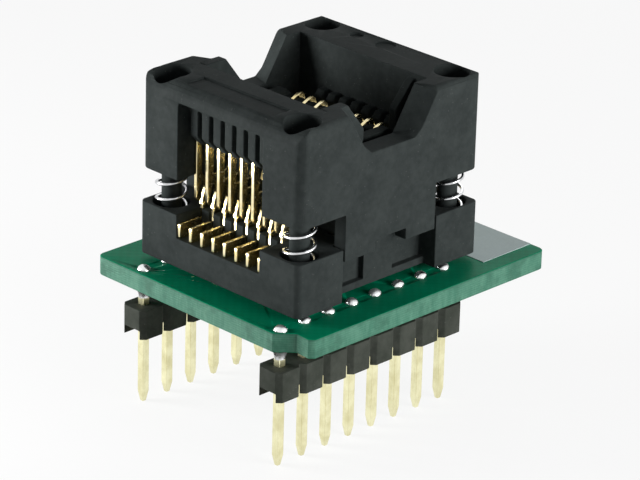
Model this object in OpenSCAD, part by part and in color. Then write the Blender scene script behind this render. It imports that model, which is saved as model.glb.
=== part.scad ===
// Push-down ZIF socket for a 16-lead narrow small-outline package,
// soldered to a board with two 8-way pin headers.
// Millimetres. +Z is up, X runs along the header rows, Y across them.
// The origin is the centre of the whole outline seen from above, at the level of the pin tips.

/* [Board] */
// Length of the board along the header rows
board_l = 27.3; // [26.9:0.1:30]
// Width of the board across the rows
board_w = 22.8; // [22.4:0.1:26]
// Thickness of the board
board_t = 1.6; // [1.2:0.1:2.0]
// Depth of the notch at the board's marked corner
board_cut = 1.3; // [0.8:0.1:1.4]

/* [Header pins] */
// Pins in each row
row_pins = 8; // [8:1:8]
// Spacing of the pins in a row
pin_pitch = 2.54; // [2.50:0.02:2.54]
// Distance between the two rows
row_gap = 15.24; // [15.0:0.02:15.4]
// Side of the square pin
pin_side = 0.64; // [0.56:0.02:0.68]
// Pin length below the insulator's feet
pin_reach = 5.9; // [3:0.1:9]
// Height of the insulator strip
strip_h = 2.5; // [2.2:0.1:2.8]
// Free height between insulator and board, filled by solder and pin
strip_gap = 1.3; // [1.0:0.1:1.6]

/* [Socket] */
// Contacts on each side
side_contacts = 8; // [8:1:8]
// Spacing of the contacts
lead_pitch = 1.27; // [1.26:0.005:1.27]
// Length of the socket base along the rows
base_l = 19.8; // [19.8:0.05:20]
// Width of the socket base across the rows
base_w = 17.7; // [17.5:0.05:17.8]
// Height of the base's block
base_h = 4.4; // [4.4:0.05:4.5]
// Sheet thickness of the contacts
blade_t = 0.28; // [0.2:0.01:0.3]

/* [Cover] */
// Free gap between cover and base with the cover up
cover_gap = 2.8; // [2.8:0.05:2.9]
// Height of the cover's block
cover_h = 8.0; // [8.0:0.05:8.2]
// Depth of the valley in each end wall
valley_d = 3.55; // [3.0:0.05:3.6]
// Diameter of the round hole over each spring
hole_d = 2.9; // [2.2:0.1:2.9]

/* [Springs] */
// Wire diameter
wire_d = 0.27; // [0.2:0.01:0.3]
// Outside diameter of the coil
coil_d = 2.66; // [2.4:0.02:2.7]
// Turns in each spring
coil_turns = 6.5; // [4:0.5:8]

/* [Hidden] */
// Levels
strip_z = pin_reach;
board_z = strip_z + strip_h + strip_gap;
board_top = board_z + board_t;
base_z = board_top + 0.5;
base_top = base_z + base_h;
cover_z = base_top + cover_gap;
cover_top = cover_z + cover_h;
stroke = 2.5;
// Plan positions: the rows sit a little off the board's centre, the socket sits to one side
board_x = 0.23;
rows_x = -3.72;
rows_y = -0.8;
first_pin_x = rows_x - pin_pitch * (row_pins - 1) / 2;
socket_x = -1.37;
// Socket plan
cover_l = 19.62;
cover_w = 17.7;
window_w = 9.2;
post_x = 8.1;
post_y = 7.1;
well_x = 5.45;
well_y = 6.95;
skirt_x = 4.95;
skirt_t = 1.2;
floor_z = base_z + 2.45;
seat_z = 22.1;
slot_w = blade_t + 0.16;
pivot_x = 7.1;
pivot_z = 16.45;
$fn = 48;

function pin_x(k) = first_pin_x + pin_pitch * (k - 1);
function row_y(row) = rows_y + row * row_gap / 2;
function contact_y(k) = lead_pitch * ((side_contacts + 1) / 2 - k);

// Box given by its low corner and its high corner
module span(low, high) {
    translate(low) cube(high - low);
}

// Plate with rounded upright corners, centred in plan
module rounded_plate(l, w, h, r) {
    linear_extrude(height = h)
        union() {
            square([l - 2 * r, w], center = true);
            square([l, w - 2 * r], center = true);
            for (sx = [-1, 1], sy = [-1, 1])
                translate([sx * (l / 2 - r), sy * (w / 2 - r)])
                    circle(r = r);
        }
}

// Profile in X and Z, extruded over a width in Y and centred on a given Y
module slab_xz(points, y, width) {
    translate([0, y + width / 2, 0])
        rotate([90, 0, 0])
            linear_extrude(height = width)
                polygon(points);
}

// Children on the right of the socket, or turned over to its left
module socket_side(side) {
    translate([socket_x, 0, 0])
        rotate([0, 0, side > 0 ? 0 : 180])
            children();
}

// ---------------------------------------------------------------- board

// Outline with a slanted notch at the front corner, other corners just rounded off
module board_outline() {
    x = board_l / 2;
    y = board_w / 2;
    r = 0.6;
    difference() {
        union() {
            square([board_l - 2 * r, board_w], center = true);
            square([board_l, board_w - 2 * r], center = true);
            for (sx = [-1, 1], sy = [-1, 1])
                translate([sx * (x - r), sy * (y - r)])
                    circle(r = r);
        }
        polygon([
            [-x - 1, -y + board_cut + 1.7],
            [-x, -y + board_cut + 1.7],
            [-x + board_cut, -y + 1.7],
            [-x + board_cut - 0.1, -y + 0.4],
            [-x + board_cut + 0.3, -y],
            [-x + board_cut + 0.3, -y - 1],
            [-x - 1, -y - 1]
        ]);
    }
}

// Through holes for header pins and contact tails
module board_holes() {
    for (row = [-1, 1], k = [1:row_pins])
        translate([pin_x(k), row_y(row), board_z - 1])
            cylinder(d = 1.0, h = board_t + 2, $fn = 32);
    for (side = [-1, 1], k = [1:side_contacts])
        translate([socket_x + side * tail_x(k), contact_y(k), board_z - 1])
            cylinder(d = 0.75, h = board_t + 2, $fn = 24);
}

module pcb() {
    color("#0f5a37")
        difference() {
            translate([board_x, 0, board_z])
                linear_extrude(height = board_t)
                    board_outline();
            board_holes();
            for (s = [-1, 1])
                translate([socket_x + s * 1.6, s * 5.2, board_z - 1])
                    cylinder(d = 1.3, h = board_t + 2);
        }
}

// Paper label along the board's far edge
module label() {
    color("#e4e6e4")
        span([board_x + board_l / 2 - 5.62, -9.9, board_top],
             [board_x + board_l / 2 - 0.1, 9.9, board_top + 0.08]);
}

// ---------------------------------------------------------------- headers

// One eight-sided cell of the insulator strip
module strip_cell() {
    half = pin_pitch / 2;
    cut = 0.42;
    linear_extrude(height = strip_h)
        polygon([
            [-half, -half + cut],
            [-half + cut, -half],
            [half - cut, -half],
            [half, -half + cut],
            [half, half - cut],
            [half - cut, half],
            [-half + cut, half],
            [-half, half - cut]
        ]);
}

// Strip of joined cells with a channel along its underside
module header_strip(row) {
    x = first_pin_x;
    l = pin_pitch * row_pins;
    color("#262725")
        difference() {
            union() {
                for (k = [1:row_pins])
                    translate([pin_x(k), row_y(row), strip_z])
                        strip_cell();
            }
            span([x - l, row_y(row) - 0.87, strip_z - 1],
                 [x + 2 * l, row_y(row) + 0.87, strip_z + 0.75]);
            for (k = [1:row_pins])
                translate([pin_x(k), row_y(row), strip_z + strip_h / 2])
                    cube([pin_side, pin_side, strip_h + 1], center = true);
        }
}

// Square pin with bevelled tips
module header_pin(row, k) {
    half = pin_side / 2;
    tip = 0.17;
    length = board_top + 0.28;
    color("#d9c489")
        translate([pin_x(k), row_y(row), 0])
            intersection() {
                translate([-half, -half, 0])
                    cube([pin_side, pin_side, length]);
                slab_xz([[-tip, 0], [tip, 0], [half, 0.9], [half, length - 0.15],
                         [half - 0.12, length], [-half + 0.12, length],
                         [-half, length - 0.15], [-half, 0.9]], 0, 2);
                rotate([0, 0, 90])
                    slab_xz([[-tip, 0], [tip, 0], [half, 0.9], [half, length - 0.15],
                             [half - 0.12, length], [-half + 0.12, length],
                             [-half, length - 0.15], [-half, 0.9]], 0, 2);
            }
}

// Solder round each header pin: a low dome on top, a drawn fillet below
module solder_joints() {
    color("#c9ccce")
        for (row = [-1, 1], k = [1:row_pins])
            translate([pin_x(k), row_y(row), 0])
                difference() {
                    union() {
                        translate([0, 0, board_top])
                            rotate_extrude($fn = 32)
                                polygon([[0, 0], [0.68, 0], [0.64, 0.1], [0.56, 0.2],
                                         [0.42, 0.29], [0, 0.29]]);
                        translate([0, 0, board_z])
                            rotate_extrude($fn = 32)
                                polygon([[0, 0], [0.68, 0], [0.6, -0.12], [0.52, -0.35],
                                         [0.48, -0.7], [0, -0.7]]);
                    }
                    translate([0, 0, board_z + board_t / 2])
                        cube([pin_side, pin_side, 6], center = true);
                }
}

// ---------------------------------------------------------------- socket base

// The recess at each end in which the cover's skirt slides, with a pocket for each hook
module skirt_recess(s) {
    y0 = base_w / 2 - skirt_t - 0.05;
    half = skirt_x + 0.15;
    deep = y0 - 0.55;
    if (s > 0) {
        span([-half, y0, base_z - 1], [half, base_w, base_top + 1]);
        for (side = [-1, 1])
            span([side > 0 ? 1.6 : -half, deep, base_z + 0.6],
                 [side > 0 ? half : -1.6, y0 + 1, base_top - 0.6]);
    } else {
        rotate([0, 0, 180])
            skirt_recess(1);
    }
}

// Spring pocket with the guide post left standing in it
module post_pocket() {
    difference() {
        translate([0, 0, base_z + 1.2])
            cylinder(d = coil_d + 0.34, h = base_h);
        cylinder(r = 0.8, h = cover_top);
    }
}

module guide_post() {
    translate([0, 0, base_z + 1])
        cylinder(r = 0.8, h = 10.3);
    translate([0, 0, base_z + 11.3])
        cylinder(r1 = 0.8, r2 = 0.62, h = 0.3);
}

module socket_base() {
    wall_x = 1.15;
    rack_w = lead_pitch * side_contacts + 0.25;
    color("#3b3d3c")
        translate([socket_x, 0, 0])
            difference() {
                union() {
                    translate([0, 0, base_z])
                        rounded_plate(base_l, base_w, base_h, 0.55);
                    for (sx = [-1, 1], sy = [-1, 1])
                        translate([sx * 4.2, sy * 3.2, board_top])
                            cylinder(r = 0.8, h = 1);
                    for (s = [-1, 1])
                        translate([s * 1.6, s * 5.2, board_top - 1.2])
                            cylinder(r = 0.6, h = 2);
                    for (sx = [-1, 1], sy = [-1, 1])
                        translate([sx * post_x, sy * post_y, 0])
                            guide_post();
                }
                // contact rack: open at the top and to both sides
                for (side = [-1, 1])
                    rotate([0, 0, side > 0 ? 0 : 180])
                        span([3.5, -window_w / 2, floor_z], [base_l, window_w / 2, base_top + 1]);
                // opening for the package nest
                span([-3.6, -rack_w / 2 - 1.0, floor_z], [3.6, rack_w / 2 + 1.0, base_top + 1]);
                for (s = [-1, 1])
                    skirt_recess(s);
                for (sx = [-1, 1], sy = [-1, 1])
                    translate([sx * post_x, sy * post_y, 0])
                        post_pocket();
                // slots for the contact roots and tails
                for (side = [-1, 1], k = [1:side_contacts])
                    translate([side * tail_x(k), contact_y(k), base_z])
                        cube([0.66, slot_w, 8], center = true);
                // shallow panels on the end faces
                for (sx = [-1, 1], sy = [-1, 1])
                    translate([sx * 7.2, sy * base_w / 2, base_z + 2.35])
                        cube([2.1, 0.16, 1.5], center = true);
            }
}

// ---------------------------------------------------------------- package nest

// Tower that carries the package: lead shelves, a body ridge and a fence at each end
module package_nest() {
    half = 3.2;
    end = 5.55;
    color("#313332")
        translate([socket_x, 0, 0])
            difference() {
                union() {
                    span([-half, -end, floor_z], [half, end, seat_z]);
                    span([-1.8, -end, floor_z], [1.8, end, seat_z + 0.15]);
                    for (s = [-1, 1])
                        slab_xz([[-half, floor_z], [half, floor_z], [half, seat_z + 0.5],
                                 [half - 0.8, seat_z + 1.3], [-half + 0.8, seat_z + 1.3],
                                 [-half, seat_z + 0.5]], s * (end + 0.1), 0.9);
                    // low ribs between the leads
                    for (side = [-1, 1], k = [1:side_contacts + 1])
                        translate([side * 2.85, contact_y(k) + lead_pitch / 2, seat_z])
                            cube([0.68, 0.5, 0.5], center = true);
                }
                // relief down the middle of the ridge
                span([-0.9, -4.2, seat_z - 0.5], [0.9, 4.2, seat_z + 1]);
            }
}

// ---------------------------------------------------------------- contacts

// Tails are staggered in two lines
function tail_x(k) = k % 2 == 0 ? 6.6 : 7.9;

// Fixed half of one contact: foot bar in the base, tail through the board, round knuckle on top
module contact_root(k) {
    foot = floor_z;
    top = foot + 1.25;
    difference() {
        union() {
            slab_xz([[5.9, foot], [9.72, foot], [9.78, foot + 0.12], [9.78, top - 0.1],
                     [9.68, top], [5.9, top]], 0, blade_t);
            slab_xz([[pivot_x - 0.3, foot], [pivot_x + 0.3, foot],
                     [pivot_x + 0.3, pivot_z], [pivot_x - 0.3, pivot_z]], 0, blade_t);
            translate([pivot_x, blade_t / 2, pivot_z])
                rotate([90, 0, 0])
                    cylinder(r = 0.3, h = blade_t, $fn = 32);
            slab_xz([[tail_x(k) - 0.25, foot + 0.3], [tail_x(k) - 0.25, board_z - 0.6],
                     [tail_x(k) - 0.1, board_z - 0.9], [tail_x(k) + 0.1, board_z - 0.9],
                     [tail_x(k) + 0.25, board_z - 0.6], [tail_x(k) + 0.25, foot + 0.3]],
                    0, blade_t);
        }
    }
}

// Moving half of one contact: spring beam, actuating lever outside, contact arm and nose inside
module contact_arm() {
    difference() {
        union() {
            slab_xz([[pivot_x - 0.42, pivot_z + 0.1], [pivot_x + 0.42, pivot_z + 0.1],
                     [7.38, 17.05], [7.12, 17.85], [7.5, 18.15], [7.5, 17.1], [7.68, 16.95],
                     [7.86, 16.95], [8.1, 17.25], [8.1, 22.0], [7.95, 22.18], [7.66, 22.18],
                     [7.5, 21.95], [7.5, 19.2], [7.2, 18.8], [5.2, 18.72], [4.72, 19.0],
                     [3.62, 22.4], [3.5, 23.0], [3.2, 23.2], [2.7, 23.05], [2.15, 22.78],
                     [2.0, 22.55], [2.02, 22.32], [2.2, 22.24], [3.0, 22.42], [3.28, 22.1],
                     [4.14, 18.6], [4.9, 18.02], [6.3, 17.95], [6.56, 17.7]],
                    0, blade_t);
        }
        translate([pivot_x, 1, pivot_z])
            rotate([90, 0, 0])
                cylinder(r = 0.35, h = 2, $fn = 32);
    }
}

module contact_node(side, k) {
    color("#cfae5c")
        translate([0, contact_y(k), 0])
            socket_side(side)
                contact_root(k);
}

module arm_node(side, k) {
    color("#d8b964")
        translate([0, contact_y(k), 0])
            socket_side(side)
                contact_arm();
}

// ---------------------------------------------------------------- springs

// Round wire wound in a helix, as rings of points joined by faces
module coil(low, high) {
    ring = 6;
    steps = round(coil_turns * 14);
    mean = (coil_d - wire_d) / 2;
    rise = high - low - wire_d;
    points = [
        for (i = [0:steps], j = [0:ring - 1])
            let (turn = 360 * coil_turns * i / steps)
            let (wide = mean + wire_d / 2 * cos(360 * j / ring))
            [wide * cos(turn), wide * sin(turn),
             low + wire_d / 2 + rise * i / steps + wire_d / 2 * sin(360 * j / ring)]
    ];
    sides = [
        for (i = [0:steps - 1], j = [0:ring - 1])
            let (a = i * ring + j)
            let (b = i * ring + (j + 1) % ring)
            [a, b, b + ring, a + ring]
    ];
    first = [for (j = [0:ring - 1]) ring - 1 - j];
    last = [for (j = [0:ring - 1]) steps * ring + j];
    polyhedron(points = points, faces = concat([first], sides, [last]), convexity = 8);
}

function corner(k) = [[-1, -1], [1, -1], [1, 1], [-1, 1]][k - 1];

module spring(k) {
    color("#b9bbbd")
        translate([socket_x + corner(k).x * post_x, corner(k).y * post_y, 0])
            rotate([0, 0, 45])
                coil(base_z + 1.22, cover_z + 3.0);
}

// ---------------------------------------------------------------- cover

// Block with rounded top edges: the same outline seen from above, from the end and from the side
module cover_block() {
    r = 0.55;
    l = cover_l / 2;
    intersection() {
        translate([0, 0, cover_z])
            rounded_plate(cover_l, cover_w, cover_h, 0.9);
        rotate([90, 0, 0])
            translate([0, 0, -cover_w])
                linear_extrude(height = 2 * cover_w)
                    round_top(cover_l, r);
        rotate([90, 0, 90])
            translate([0, 0, -cover_l])
                linear_extrude(height = 2 * cover_l)
                    round_top(cover_w, r);
    }
}

// Rectangle whose two upper corners are rounded
module round_top(width, r) {
    union() {
        translate([-width / 2, cover_z])
            square([width, cover_h - r]);
        translate([-width / 2 + r, cover_z])
            square([width - 2 * r, cover_h]);
        for (s = [-1, 1])
            translate([s * (width / 2 - r), cover_top - r])
                circle(r = r);
    }
}

// Valley in one end wall: sides lean out towards the top and spread towards the outside
module valley(s) {
    inner = well_y - 0.3;
    outer = cover_w / 2 + 0.3;
    low = cover_top - valley_d;
    top = cover_top + 0.4;
    hull() {
        slab_xz([[-1.55, low], [1.55, low], [4.1, top], [-4.1, top]], s * inner, 0.02);
        slab_xz([[-2.5, low], [2.5, low], [3.3, low + 0.65], [5.3, top], [-5.3, top],
                 [-3.3, low + 0.65]], s * outer, 0.02);
    }
}

// Slot for one contact: the steep roof is the cam that pushes the lever outwards
module cam_slot(k) {
    roof = cover_top - 2.15;
    slab_xz([[10.4, cover_z - 1], [10.4, cover_top - 1.6], [8.9, roof], [8.68, roof],
             [7.42, cover_z + 3.22], [7.2, cover_z + 3.0], [6, cover_z + 3.0],
             [6, cover_z + 5.2], [4, cover_z + 5.2], [4, cover_z - 1]],
            contact_y(k), slot_w);
}

// Window in a long side, from the bottom edge up to the bar
module side_window() {
    half = window_w / 2;
    span([8.9, -half, cover_z - 1], [cover_l, half, cover_top - 1.6]);
    // lower part behind the comb is hollow
    slab_xz([[8.9, cover_z + 3.75], [9.9, cover_z + 4.6], [9.9, cover_z - 1], [4, cover_z - 1],
             [4, cover_z + 2.85], [8.1, cover_z + 2.85]], 0, window_w);
}

// Sloping panel on top of each long bar, a step below the top face
module bar_panel() {
    slab_xz([[cover_l / 2 + 0.1, cover_top - 1.62], [cover_l / 2, cover_top - 1.58],
             [9.3, cover_top - 1.0], [8.6, cover_top - 0.62], [7.25, cover_top - 0.34],
             [7.25, cover_top + 1], [cover_l / 2 + 0.1, cover_top + 1]], 0, 9.6);
}

// Lead-in wedges beside the package, one pair on each side of the well
module guide_wedges() {
    for (s = [-1, 1])
        slab_xz([[well_x + 0.2, cover_top - 0.3], [5.1, cover_top - 0.55],
                 [3.5, cover_top - 2.35], [3.42, cover_top - 2.6], [3.42, cover_z + 3.4],
                 [well_x + 0.2, cover_z + 3.4]], s * 5.35, 0.75);
}

// Skirt at one end: two hooked legs with a shallow notch between them
module skirt(s) {
    y1 = cover_w / 2;
    low = cover_z - 3.85;
    y0 = y1 - skirt_t;
    rotate([0, 0, s > 0 ? 0 : 180]) {
        difference() {
            span([-skirt_x, y0, low], [skirt_x, y1 - 0.1, cover_z + 0.5]);
            span([-1.7, y0 - 1, low - 1], [1.7, y1 + 1, low + 0.95]);
        }
        // hooks under the base's ledge
        for (side = [-1, 1])
            translate([side * 3.35, 0, 0])
                rotate([90, 0, 90])
                    translate([0, 0, -1.4])
                        linear_extrude(height = 2.8)
                            polygon([[y0 + 0.1, low], [y0, low], [y0 - 0.42, low + 0.3],
                                     [y0 - 0.42, low + 0.4], [y0 + 0.1, low + 0.4]]);
    }
}

module cover() {
    color("#3d3f3e")
        translate([socket_x, 0, 0])
            difference() {
                union() {
                    difference() {
                        cover_block();
                        // package well, and the wider hollow under it
                        span([-well_x, -well_y, cover_z - 1], [well_x, well_y, cover_top + 1]);
                        for (s = [-1, 1])
                            valley(s);
                        for (side = [-1, 1])
                            rotate([0, 0, side > 0 ? 0 : 180]) {
                                side_window();
                                bar_panel();
                            }
                    }
                    // comb teeth reach a little into the well
                    for (side = [-1, 1])
                        rotate([0, 0, side > 0 ? 0 : 180])
                            span([4.85, -window_w / 2, cover_z + 2.85],
                                 [well_x + 0.1, window_w / 2, cover_z + 4.1]);
                    for (side = [-1, 1])
                        rotate([0, 0, side > 0 ? 0 : 180])
                            guide_wedges();
                    for (s = [-1, 1])
                        skirt(s);
                }
                for (side = [-1, 1], k = [1:side_contacts])
                    rotate([0, 0, side > 0 ? 0 : 180])
                        cam_slot(k);
                for (sx = [-1, 1], sy = [-1, 1])
                    translate([sx * post_x, sy * post_y, 0])
                        post_bore();
                // two shallow marks on one long bar
                translate([8.3, 3.45, cover_top - 0.25])
                    cylinder(d = 1.15, h = 1);
                translate([8.3, 0.25, cover_top - 0.25])
                    cylinder(d = 1.7, h = 1);
            }
}

// Spring pocket below, running bore for the post, wide hole above
module post_bore() {
    translate([0, 0, cover_z - 1])
        cylinder(d = coil_d + 0.24, h = 4);
    translate([0, 0, cover_z])
        cylinder(r = 0.86, h = cover_h);
    translate([0, 0, cover_top - 3])
        cylinder(d = hole_d, h = 4);
}

// ---------------------------------------------------------------- nodes

pcb();
label();
header_strip(-1);  // header_front
header_strip(1);  // header_back
for (k = [1:row_pins]) header_pin(-1, k);
for (k = [1:row_pins]) header_pin(1, k);
solder_joints();
socket_base();
package_nest();
cover();
for (k = [1:4]) spring(k);
for (k = [1:side_contacts]) contact_node(-1, k);
for (k = [1:side_contacts]) contact_node(1, k);
for (k = [1:side_contacts]) arm_node(-1, k);
for (k = [1:side_contacts]) arm_node(1, k);
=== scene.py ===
"""Push-down ZIF socket on its adapter board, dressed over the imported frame.

Lengths inside the classes are millimetres in the row frame: X along the header rows, Y across
them, Z up from the pin tips. Meshes are written in metres.
"""

import logging
import math
from dataclasses import dataclass
from enum import Enum
from typing import Any, Sequence

import bmesh
import bpy
import numpy as np
from mathutils import Matrix, Vector


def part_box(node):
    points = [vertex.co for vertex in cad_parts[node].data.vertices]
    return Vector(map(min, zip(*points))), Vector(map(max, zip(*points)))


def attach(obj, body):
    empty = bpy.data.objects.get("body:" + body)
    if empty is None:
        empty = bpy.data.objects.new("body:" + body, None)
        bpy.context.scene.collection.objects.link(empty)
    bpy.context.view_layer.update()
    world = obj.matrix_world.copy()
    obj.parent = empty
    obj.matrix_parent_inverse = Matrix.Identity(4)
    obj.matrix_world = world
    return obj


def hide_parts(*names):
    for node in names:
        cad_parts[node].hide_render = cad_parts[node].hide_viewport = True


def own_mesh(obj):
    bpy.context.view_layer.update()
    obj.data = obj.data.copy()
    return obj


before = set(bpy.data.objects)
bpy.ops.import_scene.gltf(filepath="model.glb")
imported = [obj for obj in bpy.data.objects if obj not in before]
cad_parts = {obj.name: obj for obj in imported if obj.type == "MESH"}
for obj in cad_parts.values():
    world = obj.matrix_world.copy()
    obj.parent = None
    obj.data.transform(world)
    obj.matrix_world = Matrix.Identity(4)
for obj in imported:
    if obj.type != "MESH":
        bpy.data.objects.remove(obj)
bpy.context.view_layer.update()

MM = 0.001
DISC_SIDES = 40
# Points closer than WELD millimetres are merged, and faces that turn less than FLAT are joined.
WELD = 0.0012
FLAT = math.radians(0.6)
LOG = logging.getLogger("zif_socket")
Colour = tuple[float, float, float]
Triple = tuple[float, float, float]


# ------------------------------------------------------------------ shader maths


class Wire:
    """One output socket of a shader node, with arithmetic that adds Math nodes."""

    def __init__(self, net: "Net", socket: bpy.types.NodeSocket) -> None:
        """Keeps the socket and its net.

        Args:
            net: the net that the socket belongs to.
            socket: an output socket.
        """
        self.net = net
        self.socket = socket

    def _math(self, operation: str, other: Any = None, swap: bool = False) -> "Wire":
        """Adds one Math node.

        Args:
            operation: name of the Math node's operation.
            other: the second operand, a number or a Wire.
            swap: puts the other operand first.

        Returns:
            The node's output.
        """
        operands = [self] if other is None else [self, other]
        if swap:
            operands.reverse()
        return self.net.node("ShaderNodeMath", {"operation": operation}, dict(enumerate(operands)))

    def __add__(self, other: Any) -> "Wire":
        """Sum with a number or Wire."""
        return self._math("ADD", other)

    def __sub__(self, other: Any) -> "Wire":
        """This value less a number or Wire."""
        return self._math("SUBTRACT", other)

    def __rsub__(self, other: Any) -> "Wire":
        """A number less this value."""
        return self._math("SUBTRACT", other, swap=True)

    def __mul__(self, other: Any) -> "Wire":
        """Product with a number or Wire."""
        return self._math("MULTIPLY", other)

    __radd__ = __add__
    __rmul__ = __mul__

    def sine(self) -> "Wire":
        """Sine of a value in radians."""
        return self._math("SINE")

    def most(self, other: Any) -> "Wire":
        """The larger of this value and another."""
        return self._math("MAXIMUM", other)

    def step(self, low: float, high: float) -> "Wire":
        """Smooth step of the value.

        Args:
            low: value that gives 0.
            high: value that gives 1.

        Returns:
            A value that rises smoothly from 0 to 1.
        """
        settings = {"interpolation_type": "SMOOTHSTEP"}
        return self.net.node("ShaderNodeMapRange", settings, {0: self, 1: low, 2: high})


class Net:
    """One material and its nodes."""

    def __init__(self, name: str) -> None:
        """Makes an empty material.

        Args:
            name: the material's name.
        """
        self.material = bpy.data.materials.new(name)
        self.material.use_nodes = True
        self.tree = self.material.node_tree
        self.tree.nodes.clear()

    def node(
        self,
        kind: str,
        settings: dict[str, Any] | None = None,
        sockets: dict[Any, Any] | None = None,
        out: int | str = 0,
    ) -> Wire:
        """Adds a node.

        Args:
            kind: the node's type.
            settings: its own settings.
            sockets: numbers, tuples or Wires for its inputs, by name or index.
            out: the output to return.

        Returns:
            That output as a Wire.
        """
        node = self.tree.nodes.new(kind)
        for name, value in (settings or {}).items():
            setattr(node, name, value)
        for key, value in (sockets or {}).items():
            if isinstance(value, Wire):
                self.tree.links.new(value.socket, node.inputs[key])
            else:
                node.inputs[key].default_value = value
        return Wire(self, node.outputs[out])

    def place(self, scale: Triple = (1.0, 1.0, 1.0), turn: float = 0.0) -> Wire:
        """Object coordinates in millimetres.

        Args:
            scale: factor on each axis.
            turn: turn about Z in radians.

        Returns:
            The scaled place as a vector.
        """
        where = self.node("ShaderNodeTexCoord", out="Object")
        factors = tuple(s / MM for s in scale)
        sockets = {"Vector": where, "Scale": factors, "Rotation": (0.0, 0.0, turn)}
        return self.node("ShaderNodeMapping", {"vector_type": "POINT"}, sockets)

    def along(self, axis: str) -> Wire:
        """One object coordinate in millimetres.

        Args:
            axis: "X", "Y" or "Z".

        Returns:
            That coordinate.
        """
        return self.node("ShaderNodeSeparateXYZ", None, {0: self.place()}, axis)

    def noise(self, where: Wire, scale: float, detail: float = 3.0, rough: float = 0.5) -> Wire:
        """Fractal noise from 0 to 1.

        Args:
            where: place to read it at.
            scale: features per unit of the place.
            detail: number of octaves.
            rough: weight of each finer octave.

        Returns:
            The noise value.
        """
        sockets = {"Vector": where, "Scale": scale, "Detail": detail, "Roughness": rough}
        return self.node("ShaderNodeTexNoise", None, sockets)

    def cells(self, where: Wire, scale: float) -> Wire:
        """Distance to the nearest of scattered points."""
        return self.node("ShaderNodeTexVoronoi", None, {"Vector": where, "Scale": scale})

    def tint(self, factor: Any, first: Any, second: Any) -> Wire:
        """Mixes two colours.

        Args:
            factor: share of the second colour, 0 to 1.
            first: colour or Wire.
            second: colour or Wire.

        Returns:
            The mixed colour.
        """
        a, b = (c if isinstance(c, Wire) else (*c, 1.0) for c in (first, second))
        settings = {"data_type": "RGBA", "blend_type": "MIX", "clamp_factor": True}
        return self.node("ShaderNodeMix", settings, {0: factor, 6: a, 7: b}, 2)

    def bump(self, height: Wire, depth: float) -> Wire:
        """Normal from a height.

        Args:
            height: height from 0 to 1.
            depth: millimetres that a height of 1 stands for.

        Returns:
            The bent normal.
        """
        sockets = {"Height": height, "Distance": depth * MM, "Strength": 1.0}
        return self.node("ShaderNodeBump", None, sockets)

    def surface(self, sockets: dict[str, Any]) -> bpy.types.Material:
        """Ends the material in a Principled shader.

        Args:
            sockets: its inputs by name.

        Returns:
            The finished material.
        """
        shader = self.node("ShaderNodeBsdfPrincipled", None, sockets)
        self.node_output(shader)
        return self.material

    def node_output(self, shader: Wire) -> None:
        """Links a shader to the material's output."""
        end = self.tree.nodes.new("ShaderNodeOutputMaterial")
        self.tree.links.new(shader.socket, end.inputs["Surface"])


# ------------------------------------------------------------------ finishes


@dataclass(frozen=True)
class MouldedPlastic:
    """Filled black plastic from a spark-eroded mould, a little dusty and rubbed."""

    name: str
    dark: Colour = (0.021, 0.0250, 0.0245)
    light: Colour = (0.033, 0.0385, 0.0375)
    fleck: Colour = (0.11, 0.115, 0.11)
    roughness: float = 0.56
    grain: float = 5.5
    depth: float = 0.012
    specular: float = 0.012

    def make(self) -> bpy.types.Material:
        """Builds the material.

        Returns:
            Material whose colour drifts between two blacks, with pale filler flecks.
        """
        net = Net(self.name)
        where = net.place()
        drift = net.noise(where, 0.35, 4.0, 0.6)
        cloud = net.noise(where, 1.7, 3.0, 0.55)
        grain = net.noise(where, self.grain, 2.0, 0.6)
        flecks = net.cells(where, 3.1).step(0.16, 0.07) * net.noise(where, 0.9).step(0.5, 0.62)
        base = net.tint((drift * 0.6 + cloud * 0.4).step(0.3, 0.7), self.dark, self.light)
        base = net.tint(flecks * 0.5, base, self.fleck)
        rough = self.roughness + (cloud - 0.5) * 0.22 + (grain - 0.5) * 0.12
        height = grain * 0.8 + cloud * 0.5
        return net.surface(
            {
                "Base Color": base,
                "Roughness": rough,
                "Specular IOR Level": self.specular,
                "Normal": net.bump(height, self.depth),
            }
        )


@dataclass(frozen=True)
class PlatedStrip:
    """Gold-plated spring strip: rolled faces, sheared edges, a little tarnish."""

    name: str
    bright: Colour = (0.96, 0.86, 0.55)
    deep: Colour = (0.80, 0.66, 0.33)
    stain: Colour = (0.24, 0.20, 0.07)
    roughness: float = 0.22

    def make(self) -> bpy.types.Material:
        """Builds the material.

        Returns:
            Metal with rolling lines across the strip and faint stains.
        """
        net = Net(self.name)
        where = net.place()
        lines = net.noise(net.place((1.2, 14.0, 1.2)), 1.0, 2.0, 0.5)
        cloud = net.noise(where, 0.8, 4.0, 0.6)
        spots = net.noise(where, 2.6, 3.0, 0.6).step(0.60, 0.74)
        base = net.tint(cloud.step(0.3, 0.7), self.bright, self.deep)
        base = net.tint(spots * 0.35, base, self.stain)
        return net.surface(
            {
                "Base Color": base,
                "Metallic": 1.0,
                "Roughness": self.roughness + (cloud - 0.5) * 0.16 + spots * 0.12,
                "Normal": net.bump(lines, 0.006),
            }
        )


@dataclass(frozen=True)
class DrawnWire:
    """Drawn metal with fine scratches along its own length."""

    name: str
    bright: Colour
    deep: Colour
    roughness: float = 0.26
    stretch: Triple = (7.0, 7.0, 0.7)

    def make(self) -> bpy.types.Material:
        """Builds the material.

        Returns:
            Metal with scratches stretched along one axis.
        """
        net = Net(self.name)
        lines = net.noise(net.place(self.stretch), 1.0, 3.0, 0.6)
        cloud = net.noise(net.place(), 0.9, 3.0, 0.55)
        base = net.tint((cloud * 0.7 + lines * 0.3).step(0.32, 0.68), self.bright, self.deep)
        return net.surface(
            {
                "Base Color": base,
                "Metallic": 1.0,
                "Roughness": self.roughness + (lines - 0.5) * 0.16,
                "Normal": net.bump(lines, 0.006),
            }
        )


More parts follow.
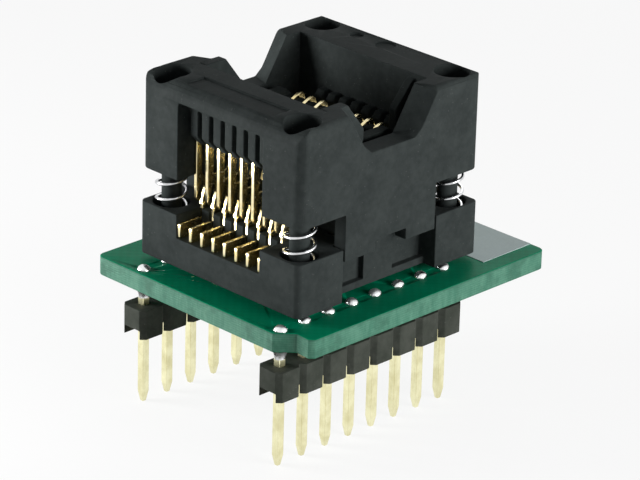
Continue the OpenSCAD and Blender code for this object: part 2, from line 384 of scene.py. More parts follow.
@dataclass(frozen=True)
class TinSolder:
    """Bright solder with a slightly frosted skin."""

    name: str
    bright: Colour = (0.86, 0.87, 0.87)
    dull: Colour = (0.60, 0.61, 0.61)

    def make(self) -> bpy.types.Material:
        """Builds the material.

        Returns:
            Metal with soft ripples and dull patches.
        """
        net = Net(self.name)
        where = net.place()
        ripple = net.noise(where, 2.2, 3.0, 0.6)
        frost = net.noise(where, 9.0, 2.0, 0.6)
        patch = net.noise(where, 1.1, 2.0).step(0.42, 0.6)
        return net.surface(
            {
                "Base Color": net.tint(patch * 0.6, self.bright, self.dull),
                "Metallic": 1.0,
                "Roughness": 0.22 + patch * 0.16 + (frost - 0.5) * 0.1,
                "Normal": net.bump(ripple * 0.8 + frost * 0.2, 0.03),
            }
        )


@dataclass(frozen=True)
class SolderMask:
    """Green lacquer over copper and glass cloth."""

    name: str
    green: Colour = (0.001, 0.205, 0.100)
    deep: Colour = (0.000, 0.150, 0.072)
    roughness: float = 0.42
    weave: float = 2.3

    def make(self) -> bpy.types.Material:
        """Builds the material.

        Returns:
            Lacquer whose colour and height follow the weave under it, faintly.
        """
        net = Net(self.name)
        where = net.place()
        turns = 2.0 * math.pi * self.weave / 2.0
        cloth = (net.along("X") * turns).sine() * (net.along("Y") * turns).sine()
        cloud = net.noise(where, 0.25, 4.0, 0.6)
        orange = net.noise(where, 3.5, 2.0, 0.5)
        tone = cloud * 0.8 + cloth * 0.07 + orange * 0.1
        return net.surface(
            {
                "Base Color": net.tint(tone.step(0.25, 0.75), self.deep, self.green),
                "Roughness": self.roughness + (orange - 0.5) * 0.14,
                "Specular IOR Level": 0.03,
                "Coat Weight": 0.02 * cloud,
                "Coat Roughness": 0.2,
                "Normal": net.bump(orange * 0.6 + cloth * 0.15, 0.012),
            }
        )


@dataclass(frozen=True)
class RoutedLaminate:
    """Cut edge of glass-epoxy board: pale layers with frayed glass and green smears."""

    name: str
    resin: Colour = (0.024, 0.115, 0.072)
    glass: Colour = (0.062, 0.175, 0.118)
    smear: Colour = (0.012, 0.075, 0.045)
    layer: float = 0.19
    top: float = 11.3

    def make(self) -> bpy.types.Material:
        """Builds the material.

        Returns:
            Layered colour along Z, broken up by streaks of the router.
        """
        net = Net(self.name)
        height = net.along("Z")
        streak = net.noise(net.place((1.0, 1.0, 0.25)), 1.6, 4.0, 0.65)
        grit = net.noise(net.place((1.0, 1.0, 2.4)), 3.5, 3.0, 0.6)
        layers = (height * (2.0 * math.pi / self.layer)).sine() * 0.5 + 0.5
        base = net.tint((layers * 0.12 + streak * 0.88).step(0.3, 0.75), self.resin, self.glass)
        rim = (height + (grit - 0.5) * 0.35).step(self.top - 0.3, self.top - 0.02)
        patches = net.noise(net.place(), 0.45, 3.0, 0.6).step(0.46, 0.66)
        base = net.tint((rim * 0.8).most(patches * 0.7), base, self.smear)
        return net.surface(
            {
                "Base Color": base,
                "Roughness": 0.62 + (grit - 0.5) * 0.25,
                "Specular IOR Level": 0.3,
                "Normal": net.bump(grit * 0.6 + layers * 0.25 + streak * 0.4, 0.03),
            }
        )


@dataclass(frozen=True)
class LabelPaper:
    """Coated paper, faintly fibrous and a little handled."""

    name: str
    clean: Colour = (0.36, 0.44, 0.435)
    worn: Colour = (0.28, 0.35, 0.345)

    def make(self) -> bpy.types.Material:
        """Builds the material.

        Returns:
            Paper with crossing fibres and grey handling marks.
        """
        net = Net(self.name)
        fibres = net.noise(net.place((1.0, 5.0, 1.0), 0.5), 2.2, 4.0, 0.6)
        cross = net.noise(net.place((5.0, 1.0, 1.0), -0.4), 2.0, 4.0, 0.6)
        marks = net.noise(net.place(), 0.4, 5.0, 0.65).step(0.45, 0.75)
        web = fibres * 0.5 + cross * 0.5
        base = net.tint(web.step(0.3, 0.7) * 0.35 + marks * 0.4, self.clean, self.worn)
        return net.surface(
            {
                "Base Color": base,
                "Roughness": 0.55 + (fibres - 0.5) * 0.2,
                "Specular IOR Level": 0.3,
                "Normal": net.bump(web, 0.012),
            }
        )


@dataclass(frozen=True)
class StudioPaper:
    """White sweep under and behind the part, white to camera and to reflections."""

    name: str
    tone: float = 0.86

    def make(self) -> bpy.types.Material:
        """Builds the material.

        Returns:
            White paper that keeps a soft shadow; camera rays see it lifted towards white.
        """
        net = Net(self.name)
        cloud = net.noise(net.place(), 0.02, 2.0)
        tone = net.tint(cloud * 0.2, (self.tone,) * 3, (self.tone * 0.98,) * 3)
        paper = net.node("ShaderNodeBsdfDiffuse", None, {"Color": tone})
        glow = net.node("ShaderNodeEmission", None, {"Color": (1.0, 1.0, 1.0, 1.0), "Strength": 1.0})
        ray = "ShaderNodeLightPath"
        seen = net.node(ray, out="Is Camera Ray") * 0.86
        mirrored = net.node(ray, out="Is Glossy Ray") * 0.9
        share = seen + mirrored + net.node(ray, out="Is Transmission Ray")
        mixed = net.node("ShaderNodeMixShader", None, {0: share, 1: paper, 2: glow})
        net.node_output(mixed)
        return net.material


class Finish(Enum):
    """Every finish on the part, by what it covers."""

    COVER = MouldedPlastic("cover_black")
    BASE = MouldedPlastic("base_black")
    # The nest's two blacks are darker than the base's and cover's as painted shade of the deep well
    # it sits in.
    NEST = MouldedPlastic("nest_black_painted_shade", (0.012, 0.015, 0.014), (0.024, 0.028, 0.027))
    INSULATOR = MouldedPlastic("insulator_black", (0.030, 0.034, 0.028), (0.052, 0.056, 0.048))
    CONTACT = PlatedStrip("contact_gold")
    PIN = DrawnWire("pin_gold", (0.86, 0.83, 0.55), (0.66, 0.62, 0.36), 0.30)
    SPRING = DrawnWire("spring_steel", (0.78, 0.79, 0.80), (0.50, 0.51, 0.52), 0.22, (4.0, 4.0, 9.0))
    SOLDER = TinSolder("bright_solder")
    MASK = SolderMask("green_mask")
    EDGE = RoutedLaminate("laminate_edge")
    LABEL = LabelPaper("label_paper")
    FLOOR = StudioPaper("studio_paper")


class Palette:
    """Makes each finish once and hands it out."""

    def __init__(self) -> None:
        """Starts with nothing made."""
        self._made: dict[Finish, bpy.types.Material] = {}

    def __getitem__(self, finish: Finish) -> bpy.types.Material:
        """The material of a finish.

        Args:
            finish: the finish wanted.

        Returns:
            Its material, made on first use.
        """
        if finish not in self._made:
            self._made[finish] = finish.value.make()
        return self._made[finish]


# ------------------------------------------------------------------ mesh tools


def grid_faces(rows: int, columns: int, closed: bool = False) -> np.ndarray:
    """Quads between neighbouring points of a grid stored row by row.

    Args:
        rows: number of rows of points.
        columns: number of points in a row.
        closed: joins the end of each row to its start.

    Returns:
        Four point indices per quad: point, next in row, next in next row, same in next row.
    """
    i = np.arange(rows - 1)[:, None]
    j = np.arange(columns if closed else columns - 1)[None, :]
    ahead, beside = i + 1, (j + 1) % columns
    corners = (i * columns + j, i * columns + beside, ahead * columns + beside, ahead * columns + j)
    return np.stack([np.broadcast_to(c, (i.size, j.size)) for c in corners], -1).reshape(-1, 4)


class Piece:
    """A new object for the part, filled from arrays in millimetres."""

    def __init__(self, name: str, points: np.ndarray, faces: Sequence[Sequence[int]]) -> None:
        """Makes the object, shaded smooth.

        Args:
            name: the piece's name.
            points: N by 3 places in millimetres.
            faces: point indices of each face.
        """
        mesh = bpy.data.meshes.new(name)
        corners = [list(map(int, face)) for face in faces]
        mesh.from_pydata((np.asarray(points, float) * MM).tolist(), [], corners)
        mesh.validate()
        mesh.polygons.foreach_set("use_smooth", np.ones(len(mesh.polygons), bool))
        self.object = bpy.data.objects.new(name, mesh)
        bpy.context.scene.collection.objects.link(self.object)
        self.name = name

    def turn_outwards(self) -> "Piece":
        """Makes every face of a closed mesh point outwards.

        Returns:
            The piece itself.
        """
        shape = bmesh.new()
        shape.from_mesh(self.object.data)
        bmesh.ops.recalc_face_normals(shape, faces=shape.faces)
        shape.to_mesh(self.object.data)
        shape.free()
        return self

    def dress(self, *materials: bpy.types.Material) -> "Piece":
        """Puts materials into the piece's slots."""
        for material in materials:
            self.object.data.materials.append(material)
        return self

    def settle(self, body: str, slot: str, *nodes: str) -> "Piece":
        """Rides the piece on a body and hides the CAD nodes that it replaces.

        Args:
            body: CAD body.
            slot: not used.
            nodes: CAD nodes that it replaces.

        Returns:
            The piece itself.
        """
        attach(self.object, body)
        if nodes:
            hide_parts(*nodes)
        LOG.info("%s: %d faces on %s", self.name, len(self.object.data.polygons), body)
        return self


@dataclass(frozen=True)
class Prism:
    """A straight solid: an outline drawn out along Y or Z, in millimetres.

    The outline is in X and Z when the prism runs along Y, and in X and Y when it runs along Z.
    """

    outline: tuple[tuple[float, float], ...]
    low: float
    high: float
    upright: bool = False

    @classmethod
    def disc(cls, x: float, y: float, radius: float, low: float, high: float) -> "Prism":
        """Upright round solid.

        Args:
            x: plan position of the axis.
            y: plan position of the axis.
            radius: its radius.
            low: lower end.
            high: upper end.

        Returns:
            The disc as a prism of many sides.
        """
        turn = np.linspace(0, 2 * np.pi, DISC_SIDES, endpoint=False)
        circle = np.stack([x + radius * np.cos(turn), y + radius * np.sin(turn)], -1)
        return cls(tuple(map(tuple, circle.tolist())), low, high, True)

    def mirrored(self, centre: float) -> "Prism":
        """The same prism on the other side of a plane across X.

        Args:
            centre: X of the plane.

        Returns:
            The mirrored prism.
        """
        outline = tuple((2 * centre - x, other) for x, other in self.outline)
        return Prism(outline, self.low, self.high, self.upright)

    def build(self, start: int) -> tuple[np.ndarray, list[list[int]]]:
        """Points and faces.

        Args:
            start: index of the first point.

        Returns:
            Points in millimetres, and faces with their first index at start.
        """
        flat = np.array(self.outline)
        n = len(flat)
        rings = []
        for level in (self.low, self.high):
            third = np.full(n, level)
            first, second = flat.T
            columns = (first, second, third) if self.upright else (first, third, second)
            rings.append(np.stack(columns, -1))
        j = np.arange(n)
        sides = np.stack([j, (j + 1) % n, (j + 1) % n + n, j + n], -1) + start
        ends = [(j + start).tolist(), (j + n + start).tolist()]
        return np.concatenate(rings), [*sides.tolist(), *ends]


def retouch(shape: bmesh.types.BMesh, prisms: Sequence[Prism], how: str) -> bmesh.types.BMesh:
    """Joins prisms to a solid or cuts them out of it.

    Args:
        shape: the solid, freed here.
        prisms: prisms that don't touch each other.
        how: UNION or DIFFERENCE.

    Returns:
        The new solid.
    """
    points, faces, count = [], [], 0
    for prism in prisms:
        own, around = prism.build(count)
        points.append(own)
        faces.extend(around)
        count += len(own)
    tool = Piece("retouch_tool", np.concatenate(points), faces).turn_outwards().object
    mesh = bpy.data.meshes.new("retouch_work")
    shape.to_mesh(mesh)
    shape.free()
    work = bpy.data.objects.new("retouch_work", mesh)
    bpy.context.scene.collection.objects.link(work)
    cut = work.modifiers.new("retouch", "BOOLEAN")
    cut.operation, cut.solver, cut.object = how, "EXACT", tool
    done = work.evaluated_get(bpy.context.evaluated_depsgraph_get())
    result = bmesh.new()
    result.from_mesh(done.to_mesh())
    done.to_mesh_clear()
    for item in (work, tool):
        data = item.data
        bpy.data.objects.remove(item)
        bpy.data.meshes.remove(data)
    return result


def simplify(shape: bmesh.types.BMesh) -> None:
    """Merges points that coincide, and faces that lie in one plane.

    Args:
        shape: the solid, changed in place.
    """
    bmesh.ops.remove_doubles(shape, verts=shape.verts, dist=WELD * MM)
    bmesh.ops.dissolve_limit(
        shape,
        angle_limit=FLAT,
        verts=shape.verts,
        edges=shape.edges,
        use_dissolve_boundaries=False,
    )


class Moulding(Piece):
    """A merged copy of a CAD solid whose sharp edges are rounded off."""

    def __init__(
        self,
        name: str,
        node: str,
        radius: float,
        segments: int = 2,
        angle: float = 34.0,
        edits: Sequence[tuple[str, Sequence[Prism]]] = (),
    ) -> None:
        """Copies the solid.

        Args:
            name: the piece's name.
            node: CAD node to copy.
            radius: edge radius in millimetres.
            segments: faces across an edge.
            angle: edges that turn more than this, in degrees, are rounded.
            edits: small forms joined to the copy or cut out of it, in this order.
        """
        shape = bmesh.new()
        shape.from_mesh(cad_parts[node].data)
        for attribute in list(shape.loops.layers.float_vector.values()):
            shape.loops.layers.float_vector.remove(attribute)
        simplify(shape)
        for how, prisms in edits:
            shape = retouch(shape, prisms, how)
            simplify(shape)
        limit = math.radians(angle)
        self.round_off(shape, radius, segments, limit)
        mesh = bpy.data.meshes.new(name)
        shape.to_mesh(mesh)
        shape.free()
        mesh.polygons.foreach_set("use_smooth", np.ones(len(mesh.polygons), bool))
        self.keep_inside(mesh, node)
        mesh.set_sharp_from_angle(angle=limit)
        self.object = bpy.data.objects.new(name, mesh)
        bpy.context.scene.collection.objects.link(self.object)
        self.name = name
        weigh = self.object.modifiers.new("even_shading", "WEIGHTED_NORMAL")
        weigh.keep_sharp = True
        weigh.weight = 80

    @staticmethod
    def round_off(shape: bmesh.types.BMesh, radius: float, segments: int, limit: float) -> None:
        """Rounds the sharp edges and splits the large faces.

        Args:
            shape: the solid, changed in place.
            radius: edge radius in millimetres.
            segments: faces across an edge.
            limit: edges that turn more than this, in radians, are rounded.
        """
        sharp = [e for e in shape.edges if e.is_manifold and e.calc_face_angle(0.0) > limit]
        bmesh.ops.bevel(
            shape,
            geom=sharp,
            offset=radius * MM,
            offset_type="OFFSET",
            segments=segments,
            profile=0.5,
            affect="EDGES",
            clamp_overlap=False,
            miter_outer="ARC",
            miter_inner="SHARP",
        )
        bmesh.ops.triangulate(shape, faces=[f for f in shape.faces if len(f.verts) > 4])

    @staticmethod
    def keep_inside(mesh: bpy.types.Mesh, node: str) -> None:
        """Moves any point that a rounded corner has pushed out of the solid's box back onto it.

        Args:
            mesh: the mesh, changed in place.
            node: CAD node whose box it keeps to.
        """
        places = np.zeros(len(mesh.vertices) * 3)
        mesh.vertices.foreach_get("co", places)
        low, high = (np.array(corner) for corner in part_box(node))
        mesh.vertices.foreach_set("co", np.clip(places.reshape(-1, 3), low, high).ravel())
        mesh.update()


# ------------------------------------------------------------------ sub-assemblies


@dataclass
class AdapterBoard:
    """The drilled board, the solder round its pins and the blank label."""

    palette: Palette
    top: float = 11.3
    thickness: float = 1.6
    edge_radius: float = 0.05
    label_rows: int = 24
    label_columns: int = 60
    label_gap: float = 0.002
    solder_rings: int = 12
    solder_sides: int = 28
    solder_seed: int = 16
    rows_x: float = -3.72
    rows_y: float = -0.8
    pitch: float = 2.54
    gap: float = 15.24
    count: int = 8

    def pin_places(self) -> np.ndarray:
        """Plan position of every header pin, row by row.

        Returns:
            16 by 2 array.
        """
        along = self.rows_x + self.pitch * (np.arange(self.count) - (self.count - 1) / 2)
        across = self.rows_y + self.gap * np.array([-0.5, 0.5])
        return np.stack(np.meshgrid(along, across), -1).reshape(-1, 2)

    def board(self) -> None:
        """The board with lacquered faces and routed edges."""
        board = Moulding("board", "pcb", self.edge_radius, 1)
        board.dress(self.palette[Finish.MASK], self.palette[Finish.EDGE])
        mesh = board.object.data
        normals = np.zeros(len(mesh.polygons) * 3)
        mesh.polygons.foreach_get("normal", normals)
        upright = np.abs(normals.reshape(-1, 3)[:, 2]) < 0.5
        mesh.polygons.foreach_set("material_index", upright.astype(np.int32))
        board.settle("adapter", "board", "pcb")

    def label(self) -> None:
        """The paper label: a thin sheet whose free edges lift a little.

        Height is a plateau plus a lift that grows with the fourth power of the distance from the
        middle, different at each corner; the sheet is closed underneath.
        """
        rows, columns = self.label_rows, self.label_columns
        low, high = (np.array(c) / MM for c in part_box("label"))
        u, v = np.meshgrid(np.linspace(0, 1, rows), np.linspace(0, 1, columns), indexing="ij")
        x = low[0] + (high[0] - low[0]) * u
        y = low[1] + (high[1] - low[1]) * v
        lift = (2 * u - 1) ** 4 * 0.35 + (2 * v - 1) ** 8 * 0.9
        waves = 0.12 * np.sin(5.0 * u + 9.0 * v) * np.sin(3.1 * v)
        z = self.top + 0.035 + 0.03 * np.clip(lift * (0.4 + 0.6 * u) + waves, 0.0, 1.4)
        upper = np.stack([x, y, z], -1).reshape(-1, 3)
        lower = upper.copy()
        lower[:, 2] = self.top + self.label_gap
        faces = grid_faces(rows, columns)
        index = np.arange(len(upper)).reshape(rows, columns)
        ring = np.concatenate([index[0], index[1:, -1], index[-1, -2::-1], index[-2:0:-1, 0]])
        around = np.roll(ring, -1)
        sides = np.stack([ring, around, around + len(upper), ring + len(upper)], -1)
        points = np.concatenate([upper, lower])
        closed = [*faces, *(faces[:, ::-1] + len(upper)), *sides]
        piece = Piece("blank_label", points, closed).turn_outwards()
        piece.object.data.set_sharp_from_angle(angle=math.radians(40))
        piece.dress(self.palette[Finish.LABEL]).settle("adapter", "paper", "label")

    def build(self) -> None:
        """Builds everything of the board."""
        self.board()
        self.label()
        self.solder()

    def solder_profile(self, up: bool) -> tuple[np.ndarray, np.ndarray]:
        """Radius and height of one joint from the pad to its tip, in millimetres.

        Above the board it is a dome, a quarter of an ellipse; below, the radius falls as a concave
        curve.

        Args:
            up: the joint stands on the board and doesn't hang below it.

        Returns:
            Radii and heights.
        """
        share = np.linspace(0.0, 1.0, self.solder_rings)
        if up:
            wide, tall = 0.52, 0.38
            return wide * np.sqrt(1 - (0.98 * share) ** 2), self.top + tall * share
        wide, slim, tall = 0.68, 0.43, 0.72
        radius = slim + (wide - slim) * (1 - share) ** 2.2
        return radius, self.top - self.thickness - tall * share

    def solder(self) -> None:
        """Solder round each pin, above and below the board.

        Each joint is a profile turned about the pin, and a slow wave round the joint, strongest at
        the pad, makes no two of them alike.
        """
        rings, sides = self.solder_rings, self.solder_sides
        share = np.linspace(0.0, 1.0, rings)[:, None]
        turn = np.linspace(0, 2 * np.pi, sides, endpoint=False)
        j = np.arange(sides)
        beside = (j + 1) % sides
        points, faces = [], []
        random = np.random.default_rng(self.solder_seed)
        for x, y in self.pin_places():
            for up in (True, False):
                radius, z = self.solder_profile(up)
                lean = random.uniform(0, 2 * np.pi)
                r = radius[:, None] * (1 + 0.06 * np.sin(turn * 2 + lean) * (1 - share))
                height = np.broadcast_to(z[:, None], r.shape)
                ring = np.stack([x + r * np.cos(turn), y + r * np.sin(turn), height], -1)
                tips = np.array([[x, y, z[-1]], [x, y, z[0]]])
                start = sum(len(p) for p in points)
                points.append(np.concatenate([ring.reshape(-1, 3), tips]))
                last = start + rings * sides
                outer = last - sides
                faces.extend(grid_faces(rings, sides, closed=True) + start)
                faces.extend(np.stack([outer + j, outer + beside, np.full(sides, last)], -1))
                faces.extend(np.stack([start + beside, start + j, np.full(sides, last + 1)], -1))
        piece = Piece("pin_solder", np.concatenate(points), faces).turn_outwards()
        piece.object.data.set_sharp_from_angle(angle=math.radians(50))
        piece.dress(self.palette[Finish.SOLDER]).settle("adapter", "solder", "solder_joints")


@dataclass
class PinHeader:
    """One row of square pins in its insulator."""

    palette: Palette
    row: str
    letter: str
    count: int = 8
    strip_radius: float = 0.06
    pin_radius: float = 0.05

    def build(self) -> None:
        """Builds the strip and its pins."""
        strip = Moulding(f"insulator_{self.row}", f"header_{self.row}", self.strip_radius, 2)
        strip.dress(self.palette[Finish.INSULATOR])
        strip.settle("adapter", "insulator", f"header_{self.row}")
        for k in range(1, self.count + 1):
            node = f"pin_{self.letter}{k}"
            pin = Moulding(f"square_{node}", node, self.pin_radius, 2, 20.0)
            pin.dress(self.palette[Finish.PIN])
            pin.settle("adapter", "pin_metal", node)


@dataclass
class SocketBody:
    """Base, package nest and cover: the three black mouldings.

    The outlines of the small forms count X from the socket's middle. The near side is the one
    towards the board's notch. Both long sides are alike where a form isn't called near or far.
    """

    palette: Palette
    radius: float = 0.08
    segments: int = 2
    centre_x: float = -1.37
    half_x: float = 9.81
    half_y: float = 8.85
    top: float = 27.0
    bottom: float = 19.0
    well_x: float = 5.45
    bar_x: float = 7.1
    bar_half: float = 4.8
    skirt_x: float = 4.95
    skirt_drop: float = 3.85
    skirt_depth: float = 0.2
    notch_x: float = 1.7
    notch_height: float = 0.95
    lead_pitch: float = 1.27
    leads: int = 8
    slot: float = 0.44
    shoulder: float = 1.5
    edge: float = 0.62
    beyond: float = 0.2

    def place(self, outline: Sequence[tuple[float, float]], low: float, high: float) -> Prism:
        """Prism along Y whose outline counts X from the socket's middle.

        Args:
            outline: X and Z pairs.
            low: lower Y.
            high: upper Y.

        Returns:
            The prism in the part's frame.
        """
        return Prism(tuple((x + self.centre_x, z) for x, z in outline), low, high)

    def both_sides(self, prism: Prism) -> tuple[Prism, Prism]:
        """A prism and its mirror image across the socket's middle plane."""
        return prism, prism.mirrored(self.centre_x)

    def between_leads(self, outline: Sequence[tuple[float, float]], ends: bool) -> list[Prism]:
        """The same prism between every two contacts, on both sides.

        Args:
            outline: X and Z pairs of the right-hand one.
            ends: also puts one outside the first and the last contact.

        Returns:
            All prisms.
        """
        outer = self.leads / 2 if ends else self.leads / 2 - 1
        half = (self.lead_pitch - self.slot) / 2
        prisms: list[Prism] = []
        for step in np.arange(-outer, outer + 0.5):
            y = float(step) * self.lead_pitch
            prisms.extend(self.both_sides(self.place(outline, y - half, y + half)))
        return prisms

    def above_arc(self, radius: float) -> Prism:
        """What a rounded outer edge takes off the far bar, over the cover's whole width.

        Args:
            radius: radius of the edge.

        Returns:
            The prism to cut away.
        """
        turn = np.linspace(0, np.pi / 2, 13)
        x = self.half_x - radius + radius * np.cos(turn)
        z = self.top - radius + radius * np.sin(turn)
        outside, above = self.half_x + self.beyond, self.top + self.beyond
        arc = [(outside, self.top - radius), *zip(x.tolist(), z.tolist())]
        reach = self.half_y + 0.35
        return self.place([*arc, (self.half_x - radius, above), (outside, above)], -reach, reach)

    def bars(self) -> tuple[Prism, Prism]:
        """What fills the sloping top of each long bar up to a plain corner.

        Returns:
            One prism a side.
        """
        slope = [(self.bar_x, self.top - 0.55), (8.6, self.top - 0.85), (9.3, self.top - 1.2)]
        slope.append((self.half_x, self.top - 1.59))
        outline = [*slope, (self.half_x, self.top), (self.bar_x, self.top)]
        return self.both_sides(self.place(outline, -self.bar_half, self.bar_half))

    def walls(self) -> tuple[Prism, Prism]:
        """What closes the slots in the well's walls above the comb.

        Returns:
            One prism a side.
        """
        low, high = self.bottom + 3.0, self.bottom + 5.3
        inner, outer = self.well_x, self.well_x + 0.65
        outline = [(inner, low), (outer, low), (outer, high), (inner, high)]
        return self.both_sides(self.place(outline, -self.bar_half - 0.1, self.bar_half + 0.1))

    def skirts(self) -> list[Prism]:
        """The skin that brings each skirt flush with the end wall above it.

        Returns:
            One prism at each end.
        """
        low, high = self.bottom - self.skirt_drop, self.bottom + 0.6
        arch = low + self.notch_height
        outline = [(-self.skirt_x, low), (-self.notch_x, low), (-self.notch_x, arch)]
        outline += [(self.notch_x, arch), (self.notch_x, low), (self.skirt_x, low)]
        outline += [(self.skirt_x, high), (-self.skirt_x, high)]
        inner = self.half_y - self.skirt_depth
        spans = ((-self.half_y, -inner), (inner, self.half_y))
        return [self.place(outline, *span) for span in spans]

    def teeth(self) -> list[Prism]:
        """The sloping noses of the comb's teeth.

        Returns:
            One prism between every two contacts.
        """
        foot, tip, shelf = self.bottom + 2.85, self.bottom + 3.6, self.bottom + 4.1
        root = self.skirt_x
        outline = [(root, foot), (4.85, foot), (4.42, tip), (4.8, shelf), (root, shelf)]
        return self.between_leads(outline, ends=False)

    def guides(self) -> list[Prism]:
        """The two raised guides beside the near bar, which lead a package in.

        Returns:
            One prism at each end of the well.
        """
        foot = self.bottom + 4.6
        outline = [(-5.6, foot), (-5.6, self.top - 0.2), (-5.3, self.top), (-3.3, self.top)]
        outline += [(-1.5, self.top - 2.3), (-1.5, foot)]
        return [self.place(outline, *span) for span in ((6.2, 7.1), (-7.1, -6.2))]

    def spare_guide(self) -> Prism:
        """The guide at the back end of the far bar, which the cover doesn't have.

        Returns:
            The prism to cut away.
        """
        low, high = self.bottom + 3.2, self.top + self.beyond
        outline = [(3.2, low), (self.well_x, low), (self.well_x, high), (3.2, high)]
        return self.place(outline, 4.85, 5.85)

    def recesses(self) -> list[Prism]:
        """The shallow panel on the near bar and the two moulding marks on the far bar.

        Returns:
            The prisms to cut away.
        """
        floor, high = self.top - 0.16, self.top + self.beyond
        outline = [(-9.2, floor), (-7.25, floor), (-7.25, high), (-9.2, high)]
        mark_x = self.centre_x + 8.3
        return [
            self.place(outline, -4.9, 4.46),
            Prism.disc(mark_x, 3.45, 0.57, self.top - 0.2, high),
            Prism.disc(mark_x, 0.25, 0.85, self.top - 0.15, high),
        ]

    def cover_edits(self) -> list[tuple[str, Sequence[Prism]]]:
        """Small forms of the cover that its solid leaves out.

        Returns:
            Operations in order.
        """
        near_shoulder = self.above_arc(self.shoulder).mirrored(self.centre_x)
        return [
            ("UNION", self.bars()),
            ("UNION", [*self.walls(), *self.skirts()]),
            ("UNION", self.teeth()),
            ("DIFFERENCE", [self.spare_guide()]),
            ("UNION", self.guides()),
            ("DIFFERENCE", [self.above_arc(self.edge), near_shoulder]),
            ("DIFFERENCE", self.recesses()),
        ]

    def base_edits(self) -> list[tuple[str, Sequence[Prism]]]:
        """Ribs between the contacts' feet, and plain end faces.

        Returns:
            Operations in order.
        """
        rib = [(3.45, 14.2), (7.6, 14.2), (7.6, 16.2), (3.45, 16.2)]
        face = [(6.1, 12.9), (8.3, 12.9), (8.3, 15.3), (6.1, 15.3)]
        spans = ((8.6, self.half_y), (-self.half_y, -8.6))
        faces = [side for span in spans for side in self.both_sides(self.place(face, *span))]
        return [("UNION", self.between_leads(rib, ends=True)), ("UNION", faces)]

    def nest_edits(self) -> list[tuple[str, Sequence[Prism]]]:
        """Ribs between the contacts' noses."""
        rib = [(2.05, 21.9), (3.19, 21.9), (3.19, 22.7), (3.0, 22.85), (2.05, 22.85)]
        return [("UNION", self.between_leads(rib, ends=True))]

    def build(self) -> None:
        """Builds the three mouldings."""
        table = (
            ("base", "socket_base", "adapter", Finish.BASE, self.base_edits()),
            ("nest", "package_nest", "adapter", Finish.NEST, self.nest_edits()),
            ("cover", "cover", "cover", Finish.COVER, self.cover_edits()),
        )
        for name, node, body, finish, edits in table:
            piece = Moulding(f"{name}_moulding", node, self.radius, self.segments, edits=edits)
            piece.dress(self.palette[finish]).settle(body, f"{name}_plastic", node)


@dataclass
class ContactBank:
    """The stamped contacts: a fixed root and a moving arm for each lead."""

    palette: Palette
    count: int = 8
    radius: float = 0.035

    def build(self) -> None:
        """Builds the roots and arms of both sides."""
        for side, arms in (("l", "arms_left"), ("r", "arms_right")):
            for k in range(1, self.count + 1):
                for kind, body in (("contact", "adapter"), ("arm", arms)):
                    node = f"{kind}_{side}{k}"
                    strip = Moulding(f"stamped_{node}", node, self.radius, 1)
                    strip.dress(self.palette[Finish.CONTACT]).settle(body, "contact_metal", node)


@dataclass
class CoverSprings:
    """The four compression springs round the guide posts."""

    palette: Palette
    centre_x: float = -1.37
    post_x: float = 8.1
    post_y: float = 7.1
    low: float = 13.02
    high: float = 22.0
    outside: float = 2.66
    wire: float = 0.27
    turns: float = 7.6
    phase: float = 150.0
    travel: float = 2.5
    turn_steps: int = 40
    wire_sides: int = 12

    def coil(self, name: str, x: float, y: float) -> Piece:
        """One spring as a round wire carried along a helix.

        The helix angle runs evenly; the height eases in and out over the first and last turn, so
        that the end coils lie flat. Each ring stands across the helix.

        Args:
            name: the piece's name.
            x: plan position of the axis.
            y: plan position of the axis.

        Returns:
            The closed wire.
        """
        steps, ring = round(self.turns * self.turn_steps), self.wire_sides
        t = np.linspace(0.0, 1.0, steps + 1)
        angle = 2 * np.pi * self.turns * t + math.radians(self.phase)
        mean = (self.outside - self.wire) / 2
        lead = self.high - self.low - self.wire
        ease = np.clip(np.minimum(t, 1 - t) * self.turns, 0.0, 1.0)
        slope = ease * ease * (3 - 2 * ease) * 0.9 + 0.1
        rise = np.concatenate([[0.0], np.cumsum((slope[1:] + slope[:-1]) / 2)])
        height = self.low + self.wire / 2 + lead * rise / rise[-1]
        radial = np.stack([np.cos(angle), np.sin(angle), np.zeros_like(angle)], -1)
        centre = np.stack([x + mean * radial[:, 0], y + mean * radial[:, 1], height], -1)
        tangent = np.gradient(centre, axis=0)
        tangent /= np.linalg.norm(tangent, axis=1, keepdims=True)
        upward = np.cross(radial, tangent)
        around = np.linspace(0, 2 * np.pi, ring, endpoint=False)
        cosine, sine = np.cos(around)[None, :, None], np.sin(around)[None, :, None]
        across = radial[:, None] * cosine + upward[:, None] * sine
        points = centre[:, None] + across * self.wire / 2
        caps = [np.arange(ring)[::-1], steps * ring + np.arange(ring)]
        faces = [*grid_faces(steps + 1, ring, closed=True), *caps]
        return Piece(name, points.reshape(-1, 3), faces).turn_outwards()

    def build(self) -> None:
        """Builds the four springs round the posts, each on its own copy of its mesh."""
        keep = 1.0 - self.travel / (self.high - self.low)
        for k, (sx, sy) in enumerate(((-1, -1), (1, -1), (1, 1), (-1, 1)), 1):
            x, y = self.centre_x + sx * self.post_x, sy * self.post_y
            spring = self.coil(f"coil_spring_{k}", x, y).dress(self.palette[Finish.SPRING])
            spring.settle("adapter", "spring_steel", f"spring_{k}")
            anchor = (0, 0, self.low * MM)
            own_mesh(spring.object)


@dataclass(frozen=True)
class Lamp:
    """One square soft lamp.

    Its place and the point it faces are in metres, like the side of the square; its power is in
    watts.
    """

    name: str
    place: Triple
    aim: Triple
    size: float
    power: float

    def hang(self) -> None:
        """Puts the lamp into the scene."""
        data = bpy.data.lights.new(self.name, "AREA")
        data.size, data.energy = self.size, self.power
        item = bpy.data.objects.new(self.name, data)
        ray = Vector(self.aim) - Vector(self.place)
        item.location, item.rotation_mode = self.place, "QUATERNION"
        item.rotation_quaternion = ray.to_track_quat("-Z", "Y")
        bpy.context.scene.collection.objects.link(item)


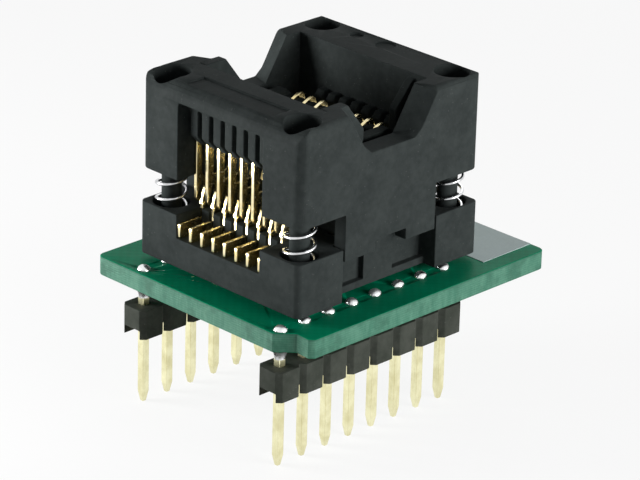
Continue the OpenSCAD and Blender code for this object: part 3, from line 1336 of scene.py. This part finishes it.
@dataclass
class Studio:
    """Floor, lamps and the camera."""

    palette: Palette
    lamps: tuple[Lamp, ...] = (
        Lamp("key_lamp", (-0.078, 0.078, 0.026), (-0.010, 0.006, 0.016), 0.05, 0.205),
        Lamp("fill_lamp", (0.05, -0.22, 0.035), (0.0, 0.0, 0.014), 0.15, 0.98),
        Lamp("back_lamp", (0.16, 0.12, 0.16), (0.0, 0.0, 0.014), 0.12, 0.12),
    )
    fill_colour: Colour = (0.93, 0.96, 1.0)
    fill_strength: float = 0.13
    eye: Triple = (-184.38, -181.52, 122.84)
    right: Triple = (0.70909, -0.70468, 0.02509)
    up: Triple = (0.26047, 0.29482, 0.91937)
    lens: float = 200.6645625
    sensor: float = 36.0
    floor_size: float = 3000.0
    floor_points: int = 41

    def camera(self) -> None:
        """The camera, from its place and its right and up directions."""
        data = bpy.data.cameras.new("studio_camera")
        data.sensor_width = self.sensor
        data.lens = self.lens
        data.clip_start, data.clip_end = 0.005, 20.0
        item = bpy.data.objects.new("studio_camera", data)
        right, up = np.array(self.right), np.array(self.up)
        right /= np.linalg.norm(right)
        up -= right * (up @ right)
        up /= np.linalg.norm(up)
        back = np.cross(right, up)
        columns = np.stack([right, up, back, np.array(self.eye) * MM], -1)
        item.matrix_world = Matrix([*columns.tolist(), [0.0, 0.0, 0.0, 1.0]])
        bpy.context.scene.collection.objects.link(item)
        bpy.context.scene.camera = item

    def floor(self) -> None:
        """The floor: a wide flat sheet."""
        line = np.linspace(-1, 1, self.floor_points)
        u, v = np.meshgrid(line, line, indexing="ij")
        points = np.stack([u * self.floor_size, v * self.floor_size, np.zeros_like(u)], -1)
        faces = grid_faces(self.floor_points, self.floor_points)
        sheet = Piece("studio_floor", points.reshape(-1, 3), faces)
        sheet.dress(self.palette[Finish.FLOOR])

    def world(self) -> None:
        """Even grey light for the part; white to camera, glossy and transmission rays."""
        world = bpy.data.worlds.new("studio_world")
        bpy.context.scene.world = world
        world.use_nodes = True
        tree = world.node_tree
        tree.nodes.clear()
        kinds = ("LightPath", "Background", "Background", "Math", "Math", "MixShader", "OutputWorld")
        made = [tree.nodes.new(f"ShaderNode{kind}") for kind in kinds]
        path, fill, white, first, second, mix, end = made
        sides = ((fill, self.fill_colour, self.fill_strength), (white, (1.0, 1.0, 1.0), 1.0))
        for side, colour, strength in sides:
            side.inputs["Color"].default_value = (*colour, 1.0)
            side.inputs["Strength"].default_value = strength
        first.operation = second.operation = "MAXIMUM"
        links = (
            (path.outputs["Is Camera Ray"], first.inputs[0]),
            (path.outputs["Is Glossy Ray"], first.inputs[1]),
            (first.outputs[0], second.inputs[0]),
            (path.outputs["Is Transmission Ray"], second.inputs[1]),
            (second.outputs[0], mix.inputs[0]),
            (fill.outputs[0], mix.inputs[1]),
            (white.outputs[0], mix.inputs[2]),
            (mix.outputs[0], end.inputs["Surface"]),
        )
        for source, target in links:
            tree.links.new(source, target)

    def build(self) -> None:
        """Sets up the whole studio."""
        self.camera()
        self.floor()
        self.world()
        for lamp in self.lamps:
            lamp.hang()
        bpy.context.scene.view_settings.view_transform = "Standard"


def main() -> None:
    """Builds the studio and every sub-assembly."""
    logging.basicConfig(level=logging.INFO, format="%(message)s")
    palette = Palette()
    parts = (
        Studio(palette),
        AdapterBoard(palette),
        PinHeader(palette, "front", "f"),
        PinHeader(palette, "back", "b"),
        SocketBody(palette),
        ContactBank(palette),
        CoverSprings(palette),
    )
    for part in parts:
        LOG.info("building %s", type(part).__name__)
        part.build()


if __name__ == "__main__":
    main()
